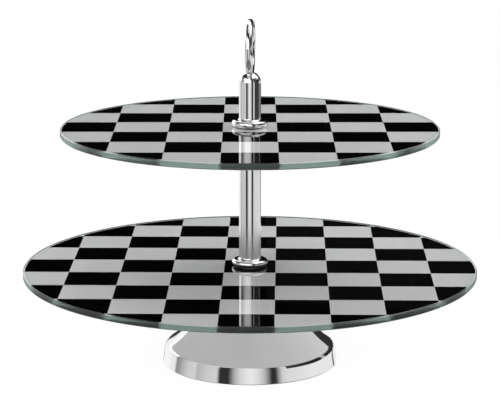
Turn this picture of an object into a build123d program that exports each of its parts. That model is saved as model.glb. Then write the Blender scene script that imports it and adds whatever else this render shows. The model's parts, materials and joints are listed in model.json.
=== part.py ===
"""Two-tier revolving cake stand: printed glass plates on a chrome column and pedestal.

Millimetres, +Z up. The origin is on the axis of the stand, on the table under its feet.
"""
from build123d import *
from math import atan2, cos, hypot, radians, sin, tan
import os

os.makedirs("parts", exist_ok=True)

# Glass plates
lower_plate_diameter = 300.0
upper_plate_diameter = 248.0
glass_thickness = 4.2
glass_arris = 0.6
glass_hole_diameter = 11.0

# Checker print on the underside of the plates: black squares with a white coat behind them
lower_square = 33.94
upper_square = 35.35
lower_print_turn = -0.97
upper_print_turn = -0.06
lower_print_shift = 0.5
upper_print_shift = 2.4
print_thickness = 0.2
ink_thickness = 0.1
ink_gap = 0.05
ink_smallest_reach = 1.0
print_margin = 1.0
print_hole_diameter = 15.0

# Column, collars and ferrule
tube_diameter = 14.4
tube_wall = 1.2
tube_length = 88.3
collar_diameter = 23.8
collar_thickness = 4.4
collar_cove = 1.3
ferrule_length = 28.9
plug_length = 18.0
stud_diameter = 8.0
stud_grip = 14.0
stud_chamfer = 0.8

# Ring handle, turned a little from the X axis and sunk into the dome of the ferrule
ring_diameter = 37.4
ring_wire_diameter = 5.1
ring_sink = 3.1
ring_turn = -3.4

# Gaskets and sleeves
seat_gasket_thickness = 0.8
gasket_thickness = 0.4
gasket_diameter = 19.0
sleeve_wall = 1.3
sleeve_setback = 0.1

# Pedestal shell
base_diameter = 116.4
band_height = 9.3
band_draft = 8.0
shoulder_radius = 5.7
shoulder_lean = 56.8
neck_diameter = 64.4
shell_height = 49.5
shell_wall = 1.2
shell_round = 0.5
lip_width = 6.0
land_hole_diameter = 42.0

# Weight, cover and feet inside and under the shell
weight_thickness = 6.0
weight_chamfer = 1.0
cover_thickness = 1.0
foot_count = 4
foot_diameter = 12.0
foot_thickness = 1.0
foot_rim_distance = 4.0

# Pillar and its screws
head_diameter = 59.0
head_thickness = 3.0
pillar_diameter = 24.0
pillar_flange_thickness = 4.0
clip_chamber_diameter = 20.0
clip_chamber_depth = 8.0
screw_count = 4
screw_diameter = 4.0
screw_head_diameter = 8.0
screw_engagement = 3.0
screw_edge_distance = 4.5
screw_socket_width = 2.5
screw_socket_depth = 1.6

# Spindle and bushes
spindle_diameter = 10.0
spindle_flange_diameter = 18.0
spindle_flange_thickness = 2.0
spindle_tail = 1.8
bush_wall = 2.0
bush_length = 12.0
washer_diameter = 17.0
washer_thickness = 1.0
clip_diameter = 15.0
clip_thickness = 1.2
clip_groove_depth = 0.8
clip_gap = 4.0

# Ball bearing
ball_diameter = 4.0
ball_count = 16
ball_circle_diameter = 44.0
race_width = 7.0
race_thickness = 1.5
race_recess = 0.5
race_gap = 2.4
cage_width = 5.6
cage_thickness = 1.5

# Carrier disc under the lower plate
carrier_thickness = 3.0
carrier_round = 0.8
skirt_wall = 2.0

# Clearances
running_clearance = 0.05
thread_clearance = 0.03
loose_clearance = 0.2
ball_clearance = 0.05
end_play = 0.3
skirt_gap = 0.8
weight_clearance = 0.5

# Radii
band_radius = base_diameter / 2
neck_radius = neck_diameter / 2
land_hole_radius = land_hole_diameter / 2
lip_radius = band_radius - lip_width
tube_radius = tube_diameter / 2
collar_radius = collar_diameter / 2
stud_radius = stud_diameter / 2
tapped_radius = stud_radius + thread_clearance
through_radius = stud_radius + running_clearance
spindle_radius = spindle_diameter / 2
bush_bore_radius = spindle_radius + running_clearance
bush_radius = bush_bore_radius + bush_wall
screw_radius = screw_diameter / 2
screw_head_radius = screw_head_diameter / 2
pillar_flange_radius = land_hole_radius - loose_clearance
screw_circle_radius = pillar_flange_radius - screw_edge_distance
ball_radius = ball_diameter / 2
groove_radius = ball_radius + ball_clearance
ball_circle_radius = ball_circle_diameter / 2
race_outer_radius = ball_circle_radius + race_width / 2
race_inner_radius = ball_circle_radius - race_width / 2
seat_gasket_radius = neck_radius - carrier_round
gasket_radius = gasket_diameter / 2
ring_radius = (ring_diameter - ring_wire_diameter) / 2

# Heights, from the table up
cover_bottom = foot_thickness
weight_bottom = cover_bottom + cover_thickness
weight_top = weight_bottom + weight_thickness
shell_bottom = weight_bottom - shell_wall
band_top = shell_bottom + band_height
shell_top = shell_bottom + shell_height
head_top = shell_top + head_thickness
lower_race_bottom = head_top - race_recess
lower_race_top = lower_race_bottom + race_thickness
ball_height = lower_race_top + race_gap / 2
upper_race_bottom = lower_race_top + race_gap
carrier_bottom = upper_race_bottom + race_thickness - race_recess
carrier_top = carrier_bottom + carrier_thickness
skirt_bottom = shell_top + skirt_gap
lower_bush_bottom = weight_top + clip_chamber_depth
washer_bottom = lower_bush_bottom - end_play - washer_thickness
clip_bottom = washer_bottom - clip_thickness
spindle_bottom = clip_bottom - spindle_tail
lower_print_bottom = carrier_top + seat_gasket_thickness
lower_glass_bottom = lower_print_bottom + print_thickness
lower_glass_top = lower_glass_bottom + glass_thickness
column_bottom = lower_glass_top + gasket_thickness
column_top = column_bottom + tube_length
upper_print_bottom = column_top + gasket_thickness
upper_glass_bottom = upper_print_bottom + print_thickness
upper_glass_top = upper_glass_bottom + glass_thickness
ferrule_bottom = upper_glass_top + gasket_thickness
dome_height = ferrule_bottom + ferrule_length
ferrule_top = dome_height + tube_radius
ring_height = ferrule_top - ring_sink + ring_diameter / 2


# Outline of the pedestal: the band leans in, the shoulder rounds over and the flare runs up to the neck
band_angle = radians(band_draft)
lean_angle = radians(shoulder_lean)
shoulder_bottom_radius = band_radius - band_height * tan(band_angle)
shoulder_centre_radius = shoulder_bottom_radius - shoulder_radius * cos(band_angle)
shoulder_centre_height = band_top - shoulder_radius * sin(band_angle)
shoulder_top_radius = shoulder_centre_radius + shoulder_radius * cos(lean_angle)
shoulder_top_height = shoulder_centre_height + shoulder_radius * sin(lean_angle)
shoulder_bottom = (shoulder_bottom_radius, band_top)
shoulder_top = (shoulder_top_radius, shoulder_top_height)
flare_width = shoulder_top_radius - neck_radius
flare_height = shell_top - shoulder_top_height
flare_radius = hypot(flare_width, flare_height) / (2 * sin(lean_angle - atan2(flare_width, flare_height)))

# Pedestal shell: a land at the top, a hollow flare, a round shoulder, the band and a lip turned in under it
with BuildPart() as base_shell:
    with BuildSketch(Plane.XZ):
        with BuildLine() as shell_line:
            Line((land_hole_radius, shell_top), (neck_radius, shell_top))
            RadiusArc((neck_radius, shell_top), shoulder_top, -flare_radius)
            RadiusArc(shoulder_top, shoulder_bottom, shoulder_radius)
            Line(shoulder_bottom, (band_radius, shell_bottom))
            Line((band_radius, shell_bottom), (lip_radius, shell_bottom))
            fillet(shell_line.vertices().sort_by(Axis.X)[-1], radius=shell_round)
            offset(amount=shell_wall, side=Side.RIGHT)
        make_face()
    revolve(axis=Axis.Z)
base_shell.part.label = "base_shell"
export_step(base_shell.part, "parts/base_shell.step")


# Cast weight that stands on the lip, with countersunk holes for the pillar's screws
with BuildPart() as base_weight:
    with BuildSketch(Plane.XY.offset(weight_bottom)):
        Circle(shoulder_bottom_radius - shell_wall - weight_clearance)
    extrude(amount=weight_thickness)
    chamfer(base_weight.edges(), length=weight_chamfer)
    with BuildSketch(Plane.XY.offset(weight_bottom)):
        with PolarLocations(screw_circle_radius, screw_count):
            Circle(screw_head_radius + loose_clearance)
    extrude(amount=screw_head_radius - screw_radius, taper=45, mode=Mode.SUBTRACT)
    with BuildSketch(Plane.XY.offset(weight_bottom)):
        with PolarLocations(screw_circle_radius, screw_count):
            Circle(screw_radius + loose_clearance)
    extrude(amount=weight_thickness, mode=Mode.SUBTRACT)
base_weight.part.label = "base_weight"
export_step(base_weight.part, "parts/base_weight.step")


# Cover that closes the underside inside the lip
with BuildPart() as base_cover:
    with BuildSketch(Plane.XY.offset(cover_bottom)):
        Circle(lip_radius - loose_clearance)
    extrude(amount=cover_thickness)
base_cover.part.label = "base_cover"
export_step(base_cover.part, "parts/base_cover.step")


# Rubber feet on the cover
foot_circle_radius = lip_radius - foot_rim_distance - foot_diameter / 2
foot_places = PolarLocations(foot_circle_radius, foot_count, start_angle=45).locations
for number, place in enumerate(foot_places, start=1):
    with BuildPart() as foot:
        with BuildSketch():
            with Locations(place):
                Circle(foot_diameter / 2)
        extrude(amount=foot_thickness)
        chamfer(foot.edges().group_by(Axis.Z)[0], length=foot_thickness / 4)
    foot.part.label = f"foot_{number}"
    export_step(foot.part, f"parts/foot_{number}.step")


# Pillar: its head stands on the land of the shell and its flange on the weight
with BuildPart() as bearing_pillar:
    with BuildSketch(Plane.XY.offset(weight_top)):
        Circle(pillar_flange_radius)
    extrude(amount=pillar_flange_thickness)
    with BuildSketch(Plane.XY.offset(weight_top)):
        Circle(pillar_diameter / 2)
    extrude(amount=shell_top - weight_top)
    with BuildSketch(Plane.XY.offset(shell_top)):
        Circle(head_diameter / 2)
    extrude(amount=head_thickness)
    with BuildSketch(Plane.XY.offset(lower_race_bottom)):
        Circle(race_outer_radius)
        Circle(race_inner_radius, mode=Mode.SUBTRACT)
    extrude(amount=race_recess, mode=Mode.SUBTRACT)
    with BuildSketch(Plane.XY.offset(weight_top)):
        Circle(bush_radius)
    extrude(amount=head_top - weight_top, mode=Mode.SUBTRACT)
    with BuildSketch(Plane.XY.offset(weight_top)):
        Circle(clip_chamber_diameter / 2)
    extrude(amount=clip_chamber_depth, mode=Mode.SUBTRACT)
    with BuildSketch(Plane.XY.offset(weight_top)):
        with PolarLocations(screw_circle_radius, screw_count):
            Circle(screw_radius + thread_clearance)
    extrude(amount=pillar_flange_thickness, mode=Mode.SUBTRACT)
bearing_pillar.part.label = "bearing_pillar"
export_step(bearing_pillar.part, "parts/bearing_pillar.step")


# Countersunk socket screws from under the weight into the flange of the pillar
with BuildPart() as pillar_screws:
    with BuildSketch(Plane.XY.offset(weight_bottom)):
        with PolarLocations(screw_circle_radius, screw_count):
            Circle(screw_head_radius)
    extrude(amount=screw_head_radius - screw_radius, taper=45)
    with BuildSketch(Plane.XY.offset(weight_bottom)):
        with PolarLocations(screw_circle_radius, screw_count):
            Circle(screw_radius)
    extrude(amount=weight_thickness + screw_engagement)
    with BuildSketch(Plane.XY.offset(weight_bottom)):
        with PolarLocations(screw_circle_radius, screw_count):
            RegularPolygon(screw_socket_width / 2, 6, major_radius=False)
    extrude(amount=screw_socket_depth, mode=Mode.SUBTRACT)
pillar_screws.part.label = "pillar_screws"
export_step(pillar_screws.part, "parts/pillar_screws.step")


# Bushes at both ends of the pillar's bore
bush_bottoms = {"lower_bush": lower_bush_bottom, "upper_bush": head_top - bush_length}
for name, bottom in bush_bottoms.items():
    with BuildPart() as bush:
        with BuildSketch(Plane.XY.offset(bottom)):
            Circle(bush_radius)
            Circle(bush_bore_radius, mode=Mode.SUBTRACT)
        extrude(amount=bush_length)
    bush.part.label = name
    export_step(bush.part, f"parts/{name}.step")


# Bearing races, each with a groove for the balls
race_bottoms = {"lower_race": lower_race_bottom, "upper_race": upper_race_bottom}
for name, bottom in race_bottoms.items():
    with BuildPart() as race:
        with BuildSketch(Plane.XY.offset(bottom)):
            Circle(race_outer_radius)
            Circle(race_inner_radius, mode=Mode.SUBTRACT)
        extrude(amount=race_thickness)
        with BuildSketch(Plane.XZ):
            with Locations((ball_circle_radius, ball_height)):
                Circle(groove_radius)
        revolve(axis=Axis.Z, mode=Mode.SUBTRACT)
    race.part.label = name
    export_step(race.part, f"parts/{name}.step")


# Cage with one hole for each ball
with BuildPart() as ball_cage:
    with BuildSketch(Plane.XY.offset(ball_height - cage_thickness / 2)):
        Circle(ball_circle_radius + cage_width / 2)
        Circle(ball_circle_radius - cage_width / 2, mode=Mode.SUBTRACT)
        with PolarLocations(ball_circle_radius, ball_count):
            Circle(ball_radius + ball_clearance, mode=Mode.SUBTRACT)
    extrude(amount=cage_thickness)
ball_cage.part.label = "ball_cage"
export_step(ball_cage.part, "parts/ball_cage.step")

with BuildPart(Plane.XY.offset(ball_height)) as bearing_balls:
    with PolarLocations(ball_circle_radius, ball_count):
        Sphere(ball_radius)
bearing_balls.part.label = "bearing_balls"
export_step(bearing_balls.part, "parts/bearing_balls.step")


# Carrier: a disc under the lower plate, with a skirt that hides the bearing
with BuildPart() as plate_carrier:
    with BuildSketch(Plane.XY.offset(skirt_bottom)):
        Circle(neck_radius)
    extrude(amount=carrier_top - skirt_bottom)
    fillet(plate_carrier.edges().group_by(Axis.Z)[-1], radius=carrier_round)
    with BuildSketch(Plane.XY.offset(skirt_bottom)):
        Circle(neck_radius - skirt_wall)
    extrude(amount=carrier_bottom - skirt_bottom, mode=Mode.SUBTRACT)
    with BuildSketch(Plane.XY.offset(carrier_bottom)):
        Circle(race_outer_radius)
        Circle(race_inner_radius, mode=Mode.SUBTRACT)
    extrude(amount=race_recess, mode=Mode.SUBTRACT)
    with BuildSketch(Plane.XY.offset(carrier_bottom)):
        Circle(through_radius)
    extrude(amount=carrier_thickness, mode=Mode.SUBTRACT)
plate_carrier.part.label = "plate_carrier"
export_step(plate_carrier.part, "parts/plate_carrier.step")


# Spindle: a journal in the bushes, a flange under the carrier and a stud up into the column
with BuildPart() as spindle:
    with BuildSketch(Plane.XY.offset(spindle_bottom)):
        Circle(spindle_radius)
    extrude(amount=carrier_bottom - spindle_bottom)
    with BuildSketch(Plane.XY.offset(carrier_bottom - spindle_flange_thickness)):
        Circle(spindle_flange_diameter / 2)
    extrude(amount=spindle_flange_thickness)
    with BuildSketch(Plane.XY.offset(carrier_bottom)):
        Circle(stud_radius)
    extrude(amount=column_bottom + stud_grip - carrier_bottom)
    chamfer(spindle.edges().group_by(Axis.Z)[-1], length=stud_chamfer)
    chamfer(spindle.edges().group_by(Axis.Z)[0], length=stud_chamfer)
    with BuildSketch(Plane.XY.offset(clip_bottom)):
        Circle(spindle_radius)
        Circle(spindle_radius - clip_groove_depth, mode=Mode.SUBTRACT)
    extrude(amount=clip_thickness, mode=Mode.SUBTRACT)
spindle.part.label = "spindle"
export_step(spindle.part, "parts/spindle.step")


# Washer and open clip that keep the spindle in the pillar
with BuildPart() as spindle_washer:
    with BuildSketch(Plane.XY.offset(washer_bottom)):
        Circle(washer_diameter / 2)
        Circle(spindle_radius + running_clearance, mode=Mode.SUBTRACT)
    extrude(amount=washer_thickness)
spindle_washer.part.label = "spindle_washer"
export_step(spindle_washer.part, "parts/spindle_washer.step")

with BuildPart() as spindle_clip:
    with BuildSketch(Plane.XY.offset(clip_bottom)):
        Circle(clip_diameter / 2)
        Circle(spindle_radius - clip_groove_depth, mode=Mode.SUBTRACT)
        with Locations((clip_diameter / 2, 0)):
            Rectangle(clip_diameter, clip_gap, mode=Mode.SUBTRACT)
    extrude(amount=clip_thickness)
spindle_clip.part.label = "spindle_clip"
export_step(spindle_clip.part, "parts/spindle_clip.step")


def black_square_centres(square, shift, reach, centre_is_black):
    """Centres of the black squares that come at least ink_smallest_reach inside the reach of the print."""
    count = int(reach / square) + 1
    centres = []
    for column in range(-count, count + 1):
        for row in range(-count, count + 1):
            is_black = (column + row) % 2 == (0 if centre_is_black else 1)
            centre_x = column * square
            centre_y = row * square + shift
            near_x = max(abs(centre_x) - square / 2, 0)
            near_y = max(abs(centre_y) - square / 2, 0)
            if is_black and hypot(near_x, near_y) < reach - ink_smallest_reach:
                centres.append((centre_x, centre_y))
    return centres


# Plates with their print, and the sleeve in each plate's hole
plates = [
    ("lower", lower_plate_diameter, lower_glass_bottom),
    ("upper", upper_plate_diameter, upper_glass_bottom),
]
prints = {
    "lower": (lower_square, lower_print_turn, lower_print_shift, True),
    "upper": (upper_square, upper_print_turn, upper_print_shift, False),
}
for tier, plate_diameter, glass_bottom in plates:
    square, print_turn, print_shift, centre_is_black = prints[tier]
    print_radius = plate_diameter / 2 - print_margin
    print_bottom = glass_bottom - print_thickness
    with BuildPart() as plate:
        with BuildSketch(Plane.XY.offset(glass_bottom)):
            Circle(plate_diameter / 2)
        extrude(amount=glass_thickness)
        chamfer(plate.edges(), length=glass_arris)
        with BuildSketch(Plane.XY.offset(glass_bottom)):
            Circle(glass_hole_diameter / 2)
        extrude(amount=glass_thickness, mode=Mode.SUBTRACT)
    plate.part.label = f"{tier}_plate"
    export_step(plate.part, f"parts/{tier}_plate.step")

    ink_plane = Plane.XY.offset(glass_bottom - ink_thickness).rotated((0, 0, print_turn))
    with BuildPart() as print_black:
        with BuildSketch(ink_plane):
            with Locations(*black_square_centres(square, print_shift, print_radius, centre_is_black)):
                Rectangle(square - ink_gap, square - ink_gap)
            Circle(print_radius - ink_gap, mode=Mode.INTERSECT)
            Circle(print_hole_diameter / 2 + ink_gap, mode=Mode.SUBTRACT)
        extrude(amount=ink_thickness)
    print_black.part.label = f"{tier}_print_black"
    export_step(print_black.part, f"parts/{tier}_print_black.step")

    with BuildPart() as print_white:
        with BuildSketch(Plane.XY.offset(print_bottom)):
            Circle(print_radius)
            Circle(print_hole_diameter / 2, mode=Mode.SUBTRACT)
        extrude(amount=print_thickness)
        add(print_black.part, mode=Mode.SUBTRACT)
    print_white.part.label = f"{tier}_print_white"
    export_step(print_white.part, f"parts/{tier}_print_white.step")

    with BuildPart() as sleeve:
        with BuildSketch(Plane.XY.offset(print_bottom)):
            Circle(through_radius + sleeve_wall)
            Circle(through_radius, mode=Mode.SUBTRACT)
        extrude(amount=print_thickness + glass_thickness - sleeve_setback)
    sleeve.part.label = f"{tier}_sleeve"
    export_step(sleeve.part, f"parts/{tier}_sleeve.step")


# Gaskets under and over the plates
gaskets = [
    ("lower_seat_gasket", carrier_top, seat_gasket_thickness, seat_gasket_radius),
    ("lower_top_gasket", lower_glass_top, gasket_thickness, gasket_radius),
    ("upper_seat_gasket", column_top, gasket_thickness, gasket_radius),
    ("upper_top_gasket", upper_glass_top, gasket_thickness, gasket_radius),
]
for name, bottom, thickness, radius in gaskets:
    with BuildPart() as gasket:
        with BuildSketch(Plane.XY.offset(bottom)):
            Circle(radius)
            Circle(through_radius, mode=Mode.SUBTRACT)
        extrude(amount=thickness)
    gasket.part.label = name
    export_step(gasket.part, f"parts/{name}.step")


# Column tube with a tapped plug at each end
with BuildPart() as column_tube:
    with BuildSketch(Plane.XY.offset(column_bottom)):
        Circle(tube_radius)
        Circle(tube_radius - tube_wall, mode=Mode.SUBTRACT)
    extrude(amount=tube_length)
column_tube.part.label = "column_tube"
export_step(column_tube.part, "parts/column_tube.step")

plug_bottoms = {"column_bottom_plug": column_bottom, "column_top_plug": column_top - plug_length}
for name, bottom in plug_bottoms.items():
    with BuildPart() as plug:
        with BuildSketch(Plane.XY.offset(bottom)):
            Circle(tube_radius - tube_wall)
            Circle(tapped_radius, mode=Mode.SUBTRACT)
        extrude(amount=plug_length)
    plug.part.label = name
    export_step(plug.part, f"parts/{name}.step")


# Collars with a round edge and a cove up the tube; the one under the upper plate is upside down
round_edge = collar_radius - collar_thickness / 2
collars = [
    ("lower_collar", column_bottom, 1),
    ("upper_seat_collar", column_top, -1),
    ("upper_collar", ferrule_bottom, 1),
]
for name, seat, way in collars:
    middle = seat + way * collar_thickness / 2
    back = seat + way * collar_thickness
    cove_end = back + way * collar_cove
    with BuildPart() as collar:
        with BuildSketch(Plane.XZ):
            with BuildLine():
                Line((tube_radius, seat), (round_edge, seat))
                ThreePointArc((round_edge, seat), (collar_radius, middle), (round_edge, back))
                Line((round_edge, back), (tube_radius + collar_cove, back))
                RadiusArc((tube_radius + collar_cove, back), (tube_radius, cove_end), way * collar_cove)
                Line((tube_radius, cove_end), (tube_radius, seat))
            make_face()
        revolve(axis=Axis.Z)
    collar.part.label = name
    export_step(collar.part, f"parts/{name}.step")


# Stud from the top plug through the upper plate into the ferrule
with BuildPart() as upper_stud:
    with BuildSketch(Plane.XY.offset(column_top - stud_grip)):
        Circle(stud_radius)
    extrude(amount=ferrule_bottom - column_top + 2 * stud_grip)
    chamfer(upper_stud.edges().filter_by(GeomType.CIRCLE), length=stud_chamfer)
upper_stud.part.label = "upper_stud"
export_step(upper_stud.part, "parts/upper_stud.step")


# Ring handle, upright on the axis
ring_normal = (cos(radians(ring_turn)), sin(radians(ring_turn)), 0)
ring_plane = Plane(origin=(0, 0, ring_height), x_dir=(0, 0, 1), z_dir=ring_normal)
with BuildPart(ring_plane) as ring_handle:
    Torus(ring_radius, ring_wire_diameter / 2)
ring_handle.part.label = "ring_handle"
export_step(ring_handle.part, "parts/ring_handle.step")


# Ferrule with a domed end, a saddle cut by the ring and a blind tapped hole
with BuildPart() as handle_ferrule:
    with BuildSketch(Plane.XZ):
        with BuildLine():
            Line((0, ferrule_bottom), (tube_radius, ferrule_bottom))
            Line((tube_radius, ferrule_bottom), (tube_radius, dome_height))
            RadiusArc((tube_radius, dome_height), (0, ferrule_top), -tube_radius)
            Line((0, ferrule_top), (0, ferrule_bottom))
        make_face()
    revolve(axis=Axis.Z)
    with BuildSketch(Plane.XY.offset(ferrule_bottom)):
        Circle(tapped_radius)
    extrude(amount=stud_grip + stud_chamfer, mode=Mode.SUBTRACT)
    add(ring_handle.part, mode=Mode.SUBTRACT)
handle_ferrule.part.label = "handle_ferrule"
export_step(handle_ferrule.part, "parts/handle_ferrule.step")
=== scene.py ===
"""Looks of the two-tier cake stand: printed glass plates, chrome column and pedestal, in metres."""
import bpy
import json
import math
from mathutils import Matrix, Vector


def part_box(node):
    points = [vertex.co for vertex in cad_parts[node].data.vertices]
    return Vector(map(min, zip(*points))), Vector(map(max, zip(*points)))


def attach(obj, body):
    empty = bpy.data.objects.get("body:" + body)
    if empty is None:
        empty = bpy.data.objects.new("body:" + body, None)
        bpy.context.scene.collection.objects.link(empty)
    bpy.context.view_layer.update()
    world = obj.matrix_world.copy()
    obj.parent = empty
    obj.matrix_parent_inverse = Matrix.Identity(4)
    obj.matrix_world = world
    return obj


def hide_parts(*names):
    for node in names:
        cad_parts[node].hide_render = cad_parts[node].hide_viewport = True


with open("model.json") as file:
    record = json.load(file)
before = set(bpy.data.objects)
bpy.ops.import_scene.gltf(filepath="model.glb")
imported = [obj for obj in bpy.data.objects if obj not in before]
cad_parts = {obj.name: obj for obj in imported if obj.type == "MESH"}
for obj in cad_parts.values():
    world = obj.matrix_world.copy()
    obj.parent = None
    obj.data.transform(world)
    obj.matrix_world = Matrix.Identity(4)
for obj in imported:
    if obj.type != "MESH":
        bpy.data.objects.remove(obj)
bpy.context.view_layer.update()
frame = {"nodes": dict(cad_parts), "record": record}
nodes = frame["nodes"]

MM = 0.001

# Camera of the photograph: long lens, on the -Y side, looking down a little
CAMERA_PLACE = (0.0, -1.3057, 0.3938)
CAMERA_PITCH_DOWN = 12.308
CAMERA_LENS = 145.79
CAMERA_SENSOR = 36.0

# Glass plates
GLASS_ARRIS = 0.6 * MM
GLASS_HOLE_RADIUS = 5.5 * MM
GLASS_INDEX = 1.5
INK_BITE = 0.05 * MM
RIM_SEGMENTS = 360
SHARP_EDGE_ANGLE = 25

# Noise values lie mostly in this range
NOISE_RANGE = (0.3, 0.7)
NO_STRETCH = (1.0, 1.0, 1.0)

WHITE = (1.0, 1.0, 1.0, 1.0)
BLACK = (0.0, 0.0, 0.0, 1.0)


# Node helpers


def new_material(name):
    material = bpy.data.materials.new(name)
    material.use_nodes = True
    tree = material.node_tree
    return material, tree, tree.nodes["Principled BSDF"]


def add_node(tree, kind, **settings):
    node = tree.nodes.new(kind)
    for key, value in settings.items():
        setattr(node, key, value)
    return node


def set_inputs(node, values):
    for socket, value in values.items():
        node.inputs[socket].default_value = value


def noise(tree, waves, detail, stretch=NO_STRETCH):
    """Noise in the object's own coordinates, with its waves per metre."""
    place = add_node(tree, "ShaderNodeTexCoord")
    mapping = add_node(tree, "ShaderNodeMapping")
    set_inputs(mapping, {"Scale": stretch})
    texture = add_node(tree, "ShaderNodeTexNoise")
    set_inputs(texture, {"Scale": waves, "Detail": detail})
    tree.links.new(place.outputs["Object"], mapping.inputs["Vector"])
    tree.links.new(mapping.outputs["Vector"], texture.inputs["Vector"])
    return texture.outputs["Fac"]


def map_range(tree, value, source, target=(0.0, 1.0), interpolation="LINEAR"):
    """Maps the source range of a value to the target range."""
    node = add_node(tree, "ShaderNodeMapRange", interpolation_type=interpolation)
    set_inputs(node, {"From Min": source[0], "From Max": source[1], "To Min": target[0], "To Max": target[1]})
    tree.links.new(value, node.inputs["Value"])
    return node.outputs["Result"]


def shade(tree, value, colours):
    """A colour that goes from the first, dark one to the second, light one with a noise value."""
    ramp = add_node(tree, "ShaderNodeValToRGB")
    for stop, position, colour in zip(ramp.color_ramp.elements, NOISE_RANGE, colours):
        stop.position = position
        stop.color = (*colour, 1.0)
    tree.links.new(value, ramp.inputs["Fac"])
    return ramp.outputs["Color"]


def bump(tree, shader, value, strength, depth):
    node = add_node(tree, "ShaderNodeBump")
    set_inputs(node, {"Strength": strength, "Distance": depth})
    tree.links.new(value, node.inputs["Height"])
    tree.links.new(node.outputs["Normal"], shader.inputs["Normal"])


def grained(name, waves, detail, colours, roughness, stretch=NO_STRETCH, values=None, relief=None):
    """A material with one noise in its colour and roughness, and in its relief where it has one.

    Colours and roughness give the range of each, values are for the shader's other sockets, and relief is a
    strength and a depth.
    """
    material, tree, shader = new_material(name)
    grain = noise(tree, waves, detail, stretch)
    tree.links.new(shade(tree, grain, colours), shader.inputs["Base Color"])
    tree.links.new(map_range(tree, grain, NOISE_RANGE, roughness), shader.inputs["Roughness"])
    set_inputs(shader, values or {})
    if relief:
        bump(tree, shader, grain, *relief)
    return material


# Materials, one function for each slot of the record, with the slot's name


def plating(name, roughness):
    """Bright chrome plating with a faint uneven haze."""
    return grained(
        name, waves=60.0, detail=6.0, roughness=roughness,
        colours=((0.86, 0.86, 0.87), (0.90, 0.90, 0.905)),
        values={"Metallic": 1.0},
    )


def chrome():
    return plating("chrome", (0.05, 0.08))


def tube_chrome():
    """Plating on tube that was polished round and round, which draws its reflections out along it."""
    material = plating("tube_chrome", (0.09, 0.11))
    tree = material.node_tree
    shader = tree.nodes["Principled BSDF"]
    around = add_node(tree, "ShaderNodeTangent", direction_type="RADIAL", axis="Z")
    tree.links.new(around.outputs["Tangent"], shader.inputs["Tangent"])
    set_inputs(shader, {"Anisotropic": 1.0, "Anisotropic Rotation": 0.25})
    return material


def glass():
    """Clear, faintly green float glass that was wiped clean."""
    material, tree, shader = new_material("glass")
    wipe = noise(tree, waves=25.0, detail=5.0)
    tree.links.new(map_range(tree, wipe, NOISE_RANGE, (0.0, 0.004)), shader.inputs["Roughness"])
    set_inputs(shader, {"Base Color": WHITE, "Transmission Weight": 1.0, "IOR": GLASS_INDEX})
    absorption = add_node(tree, "ShaderNodeVolumeAbsorption")
    set_inputs(absorption, {"Color": (0.90, 0.975, 0.95, 1.0), "Density": 22.0})
    output = tree.nodes["Material Output"]
    tree.links.new(absorption.outputs["Volume"], output.inputs["Volume"])
    return material


def ground_glass(name, colours):
    """Ground and half polished glass, which shows its green. Its darker copy on the bottom arris is painted
    shade, and its lighter copy on the top arris a painted highlight.
    """
    return grained(
        name, waves=400.0, detail=4.0, roughness=(0.40, 0.50), stretch=(1.0, 1.0, 4.0),
        colours=colours,
        values={"Transmission Weight": 1.0, "IOR": GLASS_INDEX},
    )


def glass_edge():
    return ground_glass("glass_edge", ((0.070, 0.140, 0.117), (0.090, 0.175, 0.150)))


# Darker copy of the ground glass: painted shade, the dark line along the underside of the rim
def painted_shade_bottom_arris():
    return ground_glass("painted_shade_bottom_arris", ((0.022, 0.044, 0.037), (0.028, 0.055, 0.047)))


# Lighter copy of the ground glass: a painted highlight, the thin light line along the top of the rim
def painted_highlight_top_arris():
    return ground_glass("painted_highlight_top_arris", ((0.40, 0.50, 0.46), (0.48, 0.58, 0.54)))


def ink(name, colours):
    """Printed enamel, with the faint mottle of a screen print."""
    return grained(
        name, waves=900.0, detail=3.0, roughness=(0.42, 0.55),
        colours=colours,
        values={"Specular IOR Level": 0.0},
    )


def ink_black():
    return ink("ink_black", ((0.0012, 0.0012, 0.0013), (0.0022, 0.0022, 0.0022)))


def ink_white():
    return ink("ink_white", ((0.865, 0.850, 0.855), (0.889, 0.874, 0.879)))


def steel():
    """Turned steel: fine rings round the axis of the stand."""
    return grained(
        "steel", waves=500.0, detail=3.0, roughness=(0.22, 0.38), stretch=(0.05, 0.05, 4.0),
        colours=((0.46, 0.46, 0.47), (0.60, 0.60, 0.61)),
        values={"Metallic": 1.0},
        relief=(0.05, 0.05 * MM),
    )


def cast_iron():
    return grained(
        "cast_iron", waves=700.0, detail=8.0, roughness=(0.55, 0.75),
        colours=((0.035, 0.035, 0.038), (0.085, 0.085, 0.09)),
        relief=(0.35, 0.3 * MM),
    )


def cover():
    """Black fibre board."""
    return grained(
        "cover", waves=1400.0, detail=8.0, roughness=(0.75, 0.95), stretch=(1.0, 0.25, 1.0),
        colours=((0.012, 0.012, 0.013), (0.040, 0.039, 0.038)),
        relief=(0.3, 0.15 * MM),
    )


def rubber():
    return grained(
        "rubber", waves=1800.0, detail=5.0, roughness=(0.6, 0.85),
        colours=((0.014, 0.014, 0.014), (0.030, 0.030, 0.030)),
        relief=(0.2, 0.08 * MM),
    )


def bronze():
    return grained(
        "bronze", waves=1200.0, detail=6.0, roughness=(0.3, 0.5),
        colours=((0.42, 0.26, 0.10), (0.60, 0.41, 0.19)),
        values={"Metallic": 1.0},
    )


def nylon():
    return grained(
        "nylon", waves=300.0, detail=4.0, roughness=(0.4, 0.55),
        colours=((0.70, 0.69, 0.64), (0.80, 0.79, 0.75)),
    )


def gasket():
    """Black silicone."""
    return grained(
        "gasket", waves=500.0, detail=4.0, roughness=(0.5, 0.7),
        colours=((0.006, 0.006, 0.006), (0.012, 0.012, 0.012)),
    )


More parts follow.
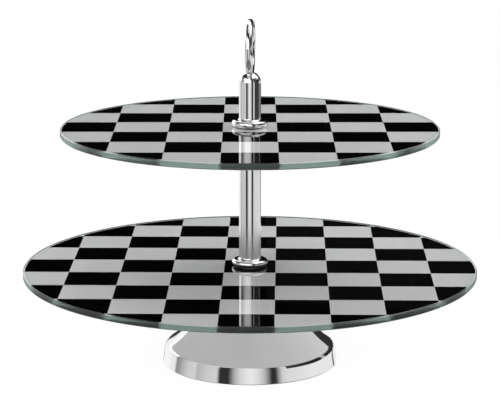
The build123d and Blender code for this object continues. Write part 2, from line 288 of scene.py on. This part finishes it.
slot_makers = [chrome, steel, cast_iron, cover, rubber, bronze, nylon, glass, ink_black, ink_white, gasket]
slot_materials = {make.__name__: make() for make in slot_makers}
for subpart in frame["record"]["subparts"]:
    for slot in nodes[subpart["node"]].material_slots:
        slot.material = slot_materials[subpart["material_slot"]]
for slot in nodes["column_tube"].material_slots:
    slot.material = tube_chrome()


# Pieces


def lathe(name, profile, segments):
    """A closed ring of the profile, a list of (radius, height) points, turned round the Z axis."""
    count = len(profile)
    points = []
    for step in range(segments):
        angle = 2 * math.pi * step / segments
        for radius, height in profile:
            points.append((radius * math.cos(angle), radius * math.sin(angle), height))
    faces = []
    for step in range(segments):
        here = step * count
        there = (step + 1) % segments * count
        for corner in range(count):
            after = (corner + 1) % count
            faces.append((here + corner, there + corner, there + after, here + after))
    mesh = bpy.data.meshes.new(name)
    mesh.from_pydata(points, [], faces)
    mesh.polygons.foreach_set("use_smooth", [True] * len(faces))
    mesh.set_sharp_from_angle(angle=math.radians(SHARP_EDGE_ANGLE))
    mesh.update()
    piece = bpy.data.objects.new(name, mesh)
    bpy.context.scene.collection.objects.link(piece)
    return piece


plate_looks = [slot_materials["glass"], glass_edge(), painted_shade_bottom_arris(), painted_highlight_top_arris()]
CLEAR, EDGE, SHADED_BOTTOM_ARRIS, HIGHLIGHTED_TOP_ARRIS = range(len(plate_looks))


def glass_plate(node):
    """Plate with a finely turned rim. Its underside reaches a little into the ink, as fused enamel does."""
    low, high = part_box(node)
    rim = high.x
    bottom = low.z - INK_BITE
    # Each point starts a strip of the surface, which has the look beside it
    strips = [
        ((GLASS_HOLE_RADIUS, bottom), CLEAR),
        # Bottom arris: its darker glass is painted shade
        ((rim - GLASS_ARRIS, bottom), SHADED_BOTTOM_ARRIS),
        ((rim, bottom + GLASS_ARRIS), EDGE),
        # Top arris: its lighter glass is a painted highlight
        ((rim, high.z - GLASS_ARRIS), HIGHLIGHTED_TOP_ARRIS),
        ((rim - GLASS_ARRIS, high.z), CLEAR),
        ((GLASS_HOLE_RADIUS, high.z), CLEAR),
    ]
    piece = lathe(node + "_glass", [point for point, look in strips], RIM_SEGMENTS)
    for material in plate_looks:
        piece.data.materials.append(material)
    for face in piece.data.polygons:
        face.material_index = strips[face.index % len(strips)][1]
    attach(piece, "turntable")
    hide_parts(node)
    return piece


lower_glass = glass_plate("lower_plate")
upper_glass = glass_plate("upper_plate")

# In the photograph the column and handle show plain stripes of the studio, so chrome mirrors neither the
# plates nor these pieces under them
UNMIRRORED = [
    "lower_print_black",
    "lower_print_white",
    "upper_print_black",
    "upper_print_white",
    "upper_seat_gasket",
    "upper_seat_collar",
]
for piece in [lower_glass, upper_glass] + [nodes[name] for name in UNMIRRORED]:
    piece.visible_glossy = False


# Stage: a pale floor and backdrop that only the camera sees, and soft light from all round

FLOOR_RADIUS = 30.0
FLOOR_SIDES = 128
FLOOR_GLOW = 0.97
FLOOR_SHADE = 0.03
FLOOR_GRAIN = 2.0
BACKDROP_SEGMENTS = 64
BACKDROP_RINGS = 32
BACKDROP_GLOW = 1.01
BACKDROP_GRAIN = 0.2
PAPER_SHADES = ((0.985, 0.985, 0.985), (1.0, 1.0, 1.0))
PAPER_DETAIL = 3.0


def paper(name, glow, matt, grain):
    """Softly glowing paper, a little uneven; grain is in waves per metre."""
    material, tree, shader = new_material(name)
    cloud = noise(tree, grain, PAPER_DETAIL)
    tree.links.new(shade(tree, cloud, PAPER_SHADES), shader.inputs["Emission Color"])
    set_inputs(shader, {"Emission Strength": glow, "Base Color": (matt, matt, matt, 1.0)})
    set_inputs(shader, {"Roughness": 1.0, "Specular IOR Level": 0.0})
    return material


def camera_only(piece):
    piece.visible_diffuse = False
    piece.visible_glossy = False
    piece.visible_shadow = False
    piece.visible_volume_scatter = False


def add_floor():
    bpy.ops.mesh.primitive_circle_add(vertices=FLOOR_SIDES, radius=FLOOR_RADIUS, fill_type="NGON")
    piece = bpy.context.object
    piece.name = "floor"
    piece.data.materials.append(paper("floor", FLOOR_GLOW, FLOOR_SHADE, FLOOR_GRAIN))
    camera_only(piece)


def add_backdrop():
    bpy.ops.mesh.primitive_uv_sphere_add(
        segments=BACKDROP_SEGMENTS, ring_count=BACKDROP_RINGS, radius=FLOOR_RADIUS)
    piece = bpy.context.object
    piece.name = "backdrop"
    piece.data.materials.append(paper("backdrop", BACKDROP_GLOW, 0.0, BACKDROP_GRAIN))
    camera_only(piece)


# Cards stand on circles round the stand. A card has a radius, a start and an end angle from the camera's
# side, positive to its right, a height for each edge, and a glow.
CARD_STEPS = 48
CARD_GRAIN = 6.0
FULL_TURN = (-180, 180)

# Cards which only chrome sees: the last for the column, and the others for the handle
CARDS = [
    (0.40, (-46, -41), (0.085, 0.200), 0.70),
    (0.40, (48, 104), (0.085, 0.200), 0.045),
    (1.20, (104, 150), (-0.085, 0.020), 0.20),
    (0.40, (150, 178), (0.085, 0.200), 0.010),
    (0.40, (143, 178), (0.004, 0.080), 0.030),
]

# A low wall round the stand, which only chrome sees: the stripes of the column fade in it towards the lower
# collar
FADE_WALL = (0.20, FULL_TURN, (0.012, 0.041), 0.23)

# Cards which light the prints and show in no reflection: a soft panel round the back, and one between the
# plates at the front left
PANEL = (0.42, (55, 240), (0.32, 0.58), 4.9)
SIDE_CARD = (0.22, (-115, -15), (0.09, 0.15), 2.8)

# Low cards at the sides, which light the white coat from below
LOW_CARDS = [
    (0.24, (-130, -50), (0.0, 0.045), 3.8),
    (0.24, (50, 130), (0.0, 0.045), 5.9),
]

# Near walls, which only chrome sees: the band of the pedestal mirrors a ring of light of its own in them, and
# its shoulder a dark one at the right. Each wall has its angles on the ring and its heights.
NEAR_WALL_RADIUS = 0.11
BAND_WALLS = [
    ((-180, -116), (-0.030, 0.036)),
    ((-116, 49), (-0.030, 0.042)),
    ((49, 180), (-0.030, 0.010)),
]
SHOULDER_WALL = ((49, 180), (0.010, 0.042))

# Radius of the band, as a share of the near walls' radius
BAND_SHARE = 0.527

# Two ceilings close over the pedestal, which only chrome sees. The flare of the pedestal mirrors the lower
# one in place of the lower plate. The handle and collars mirror the upper one in place of the plates.
CEILING_RADII = (0.020, 0.109)
CEILING_HEIGHT = 0.0425
CEILING_TOP_HEIGHT = 0.0430

# Brightness of the studio round the stand, by the angle from the camera's side, positive to its right.
# Upright chrome sees the ring under the horizon, and the glass mirrors the one just over it.
LOW_RING = [
    (-171, 0.03), (-167, 0.96), (-140, 1.00), (-125, 0.88), (-114, 0.78), (-111, 0.34), (-104, 0.42),
    (-97, 0.58), (-82, 0.70), (-78, 0.55), (-68, 0.58), (-58, 0.66), (-46.5, 0.68), (-44, 0.01),
    (-29, 0.01), (-26, 0.15), (-22, 0.42), (-14, 0.74), (-3, 0.90), (3, 0.88), (9, 0.72), (14, 0.50),
    (18.5, 0.22), (21.5, 0.01), (31, 0.01), (35, 0.45), (39, 0.70), (47, 0.77), (91, 0.80), (141, 0.84),
    (149, 0.92),
]
HORIZON_RING = [
    (-180, 0.002), (-172, 0.002), (-165, 1.90), (-114, 1.80), (-106, 0.30), (-83, 0.30), (-70, 0.60),
    (-57, 1.15), (-46, 1.40), (-35, 1.40), (-24, 1.40), (-3, 1.35), (8, 1.00), (15, 0.40), (19, 0.10),
    (24, 0.02), (33, 0.03), (37, 0.50), (44, 0.50), (48, 0.06), (95, 0.02), (111, 0.02), (113.5, 0.50),
    (119, 0.50), (121.5, 0.03), (150, 0.03), (172, 0.002), (180, 0.002),
]
UPPER_RING = [
    (-180, 1.20), (-150, 1.20), (-138, 0.10), (-92, 0.10), (-80, 0.60), (-70, 1.40), (-46, 1.90),
    (-24, 1.80), (-3, 1.60), (10, 0.60), (19, 0.05), (60, 0.05), (85, 0.30), (101, 1.20), (128, 1.20),
    (136, 0.03), (174, 0.03), (180, 1.20),
]
MIDDLE_RING = [(-180, 1.20), (-150, 1.20), (-135, 0.03), (25, 0.03), (55, 1.40), (128, 1.40), (180, 1.20)]
NADIR_RING = [(-180, 0.15), (180, 0.15)]
OVERHEAD_RING = [(-180, 0.70), (30, 0.60), (60, 1.30), (130, 1.30), (180, 0.70)]

# Brightness of the near walls and the two ceilings
BAND_RING = [
    (-171, 0.03), (-167, 0.96), (-140, 1.03), (-121, 0.91), (-116.5, 0.88), (-114, 0.30), (-107, 0.35),
    (-100, 0.50), (-88.7, 0.67), (-76.5, 0.72), (-74, 0.50), (-59, 0.65), (-44, 0.72), (-40.5, 0.03),
    (-28.5, 0.03), (-25, 0.17), (-21, 0.42), (-13, 0.72), (1, 0.91), (11, 0.76), (19, 0.52), (23, 0.32),
    (28, 0.03), (34, 0.03), (39, 0.41), (43, 0.70), (52, 0.78), (91, 0.88), (141, 0.89), (143, 0.15),
    (147, 0.15), (149, 0.92),
]
SHOULDER_RING = [(49, 0.05), (95, 0.02), (111, 0.02), (113.5, 0.50), (119, 0.50), (121.5, 0.03), (180, 0.03)]
FLARE_RING = [(-180, 0.52), (-90, 0.50), (0, 0.49), (60, 0.57), (120, 0.66), (180, 0.52)]
CEILING_TOP_RING = [(-180, 0.65), (-95, 0.65), (-70, 0.20), (70, 0.20), (95, 0.65), (180, 0.65)]

# Soft light on matt surfaces, brighter from the right
FLOOR_RING = [(-180, 0.45), (-90, 0.40), (0, 0.42), (90, 0.60), (180, 0.45)]
WALL_RING = [(-180, 1.0), (-90, 3.4), (0, 3.4), (60, 3.6), (90, 3.2), (180, 1.0)]
CEILING_RING = [(-180, 1.0), (180, 1.0)]

# A studio has its ring at the ground and then, from there up, the sines of the heights over which another
# ring takes over, and that ring
MIRROR_STUDIO = (NADIR_RING, [
    (-0.75, -0.55, LOW_RING),
    (-0.01, 0.035, HORIZON_RING),
    (0.36, 0.44, UPPER_RING),
    (0.62, 0.70, MIDDLE_RING),
    (0.88, 0.94, OVERHEAD_RING),
])
MATT_STUDIO = (FLOOR_RING, [
    (-0.05, 0.05, WALL_RING),
    (0.55, 0.63, CEILING_RING),
])

# Rays that have met a matt surface have a diffuse depth over this
MATT_RAY_DEPTH = 0.5

# Sockets of a colour mix, several of which share a name
MIX_FACTOR, MIX_FIRST, MIX_SECOND, MIX_RESULT = 0, 6, 7, 2


def turn_and_height(tree, place):
    """Angle from the camera's side, as a share of a full turn, and height, of a place or a direction."""
    coordinates = add_node(tree, "ShaderNodeTexCoord")
    parts = add_node(tree, "ShaderNodeSeparateXYZ")
    tree.links.new(coordinates.outputs[place], parts.inputs["Vector"])
    towards = add_node(tree, "ShaderNodeMath", operation="MULTIPLY")
    tree.links.new(parts.outputs["Y"], towards.inputs[0])
    towards.inputs[1].default_value = -1.0
    angle = add_node(tree, "ShaderNodeMath", operation="ARCTAN2")
    tree.links.new(parts.outputs["X"], angle.inputs[0])
    tree.links.new(towards.outputs["Value"], angle.inputs[1])
    turn = map_range(tree, angle.outputs["Value"], (-math.pi, math.pi))
    return turn, parts.outputs["Z"]


def ring_of_light(tree, turn, ring):
    """Brightness of a ring at an angle, which is given as a share of a full turn."""
    ramp = add_node(tree, "ShaderNodeValToRGB")
    stops = ramp.color_ramp.elements
    while len(stops) < len(ring):
        stops.new(0.5)
    for stop, (angle, level) in zip(stops, ring):
        stop.position = (angle + 180) / 360
        stop.color = (level, level, level, 1.0)
    tree.links.new(turn, ramp.inputs["Fac"])
    return ramp.outputs["Color"]


def ring_paper(name, ring):
    """Paper that glows with a ring of light."""
    material, tree, shader = new_material(name)
    turn = turn_and_height(tree, "Object")[0]
    tree.links.new(ring_of_light(tree, turn, ring), shader.inputs["Emission Color"])
    set_inputs(shader, {"Emission Strength": 1.0, "Base Color": BLACK, "Specular IOR Level": 0.0})
    return material


def add_card(name, radii, angles, heights, material):
    """A glowing strip on part of a circle round the stand, with the radius and height of each edge."""
    start, end = angles
    points = []
    faces = []
    for step in range(CARD_STEPS + 1):
        angle = math.radians(start + (end - start) * step / CARD_STEPS)
        for radius, height in zip(radii, heights):
            points.append((radius * math.sin(angle), -radius * math.cos(angle), height))
    for step in range(CARD_STEPS):
        corner = 2 * step
        faces.append((corner, corner + 1, corner + 3, corner + 2))
    mesh = bpy.data.meshes.new(name)
    mesh.from_pydata(points, [], faces)
    piece = bpy.data.objects.new(name, mesh)
    bpy.context.scene.collection.objects.link(piece)
    mesh.materials.append(material)
    piece.visible_camera = False
    piece.visible_shadow = False
    return piece


def plain_card(name, radius, angles, heights, glow):
    return add_card(name, (radius, radius), angles, heights, paper(name, glow, 0.0, CARD_GRAIN))


def chrome_only(card):
    card.visible_diffuse = False
    card.visible_transmission = False


def band_angle(angle):
    """Angle on a near wall at which the band, which stands inside the wall, mirrors an angle of a ring."""
    return angle - math.degrees(math.asin(BAND_SHARE * math.sin(math.radians(angle) / 2)))


def add_near_wall(name, wall, ring):
    angles, heights = wall
    seen = [band_angle(angle) for angle in angles]
    seen_ring = [(band_angle(angle), level) for angle, level in ring]
    radii = (NEAR_WALL_RADIUS, NEAR_WALL_RADIUS)
    chrome_only(add_card(name, radii, seen, heights, ring_paper(name, seen_ring)))


def add_ceiling(name, height, ring):
    chrome_only(add_card(name, CEILING_RADII, FULL_TURN, (height, height), ring_paper(name, ring)))


def add_mirrored_cards():
    for number, card in enumerate(CARDS, start=1):
        chrome_only(plain_card(f"card_{number}", *card))
    for number, wall in enumerate(BAND_WALLS, start=1):
        add_near_wall(f"band_wall_{number}", wall, BAND_RING)
    add_near_wall("shoulder_wall", SHOULDER_WALL, SHOULDER_RING)
    add_ceiling("near_ceiling", CEILING_HEIGHT, FLARE_RING)
    add_ceiling("ceiling_top", CEILING_TOP_HEIGHT, CEILING_TOP_RING)
    chrome_only(plain_card("fade_wall", *FADE_WALL))


def add_lighting_cards():
    for name, card in (("panel", PANEL), ("side_card", SIDE_CARD)):
        plain_card(name, *card).visible_glossy = False
    for number, card in enumerate(LOW_CARDS, start=1):
        low_card = plain_card(f"low_card_{number}", *card)
        low_card.visible_glossy = False
        low_card.visible_transmission = False


def mix_colours(tree, factor, first, second):
    node = add_node(tree, "ShaderNodeMix", data_type="RGBA")
    tree.links.new(factor, node.inputs[MIX_FACTOR])
    tree.links.new(first, node.inputs[MIX_FIRST])
    tree.links.new(second, node.inputs[MIX_SECOND])
    return node.outputs[MIX_RESULT]


def light_by_height(tree, turn, height, studio):
    """Brightness of a studio in a direction: each ring fades into the next one up."""
    ground, rings = studio
    light = ring_of_light(tree, turn, ground)
    for low, high, ring in rings:
        colour = ring_of_light(tree, turn, ring)
        share = map_range(tree, height, (low, high), interpolation="SMOOTHSTEP")
        light = mix_colours(tree, share, light, colour)
    return light


def add_studio_light():
    """Light from all round: one studio for what chrome and glass mirror, and one for matt surfaces."""
    world = bpy.data.worlds.new("studio")
    world.use_nodes = True
    tree = world.node_tree
    turn, height = turn_and_height(tree, "Generated")
    mirrored = light_by_height(tree, turn, height, MIRROR_STUDIO)
    matt = light_by_height(tree, turn, height, MATT_STUDIO)
    path = add_node(tree, "ShaderNodeLightPath")
    from_matt = add_node(tree, "ShaderNodeMath", operation="GREATER_THAN")
    tree.links.new(path.outputs["Diffuse Depth"], from_matt.inputs[0])
    from_matt.inputs[1].default_value = MATT_RAY_DEPTH
    background = tree.nodes["Background"]
    light = mix_colours(tree, from_matt.outputs["Value"], mirrored, matt)
    tree.links.new(light, background.inputs["Color"])
    set_inputs(background, {"Strength": 1.0})
    bpy.context.scene.world = world


def add_camera():
    data = bpy.data.cameras.new("camera")
    data.lens = CAMERA_LENS
    data.sensor_width = CAMERA_SENSOR
    data.sensor_fit = "HORIZONTAL"
    data.clip_end = 2 * FLOOR_RADIUS
    camera = bpy.data.objects.new("camera", data)
    camera.location = CAMERA_PLACE
    camera.rotation_euler = (math.radians(90 - CAMERA_PITCH_DOWN), 0.0, 0.0)
    bpy.context.scene.collection.objects.link(camera)
    bpy.context.scene.camera = camera


add_floor()
add_backdrop()
add_mirrored_cards()
add_lighting_cards()
add_studio_light()
add_camera()
bpy.context.scene.view_settings.view_transform = "Standard"
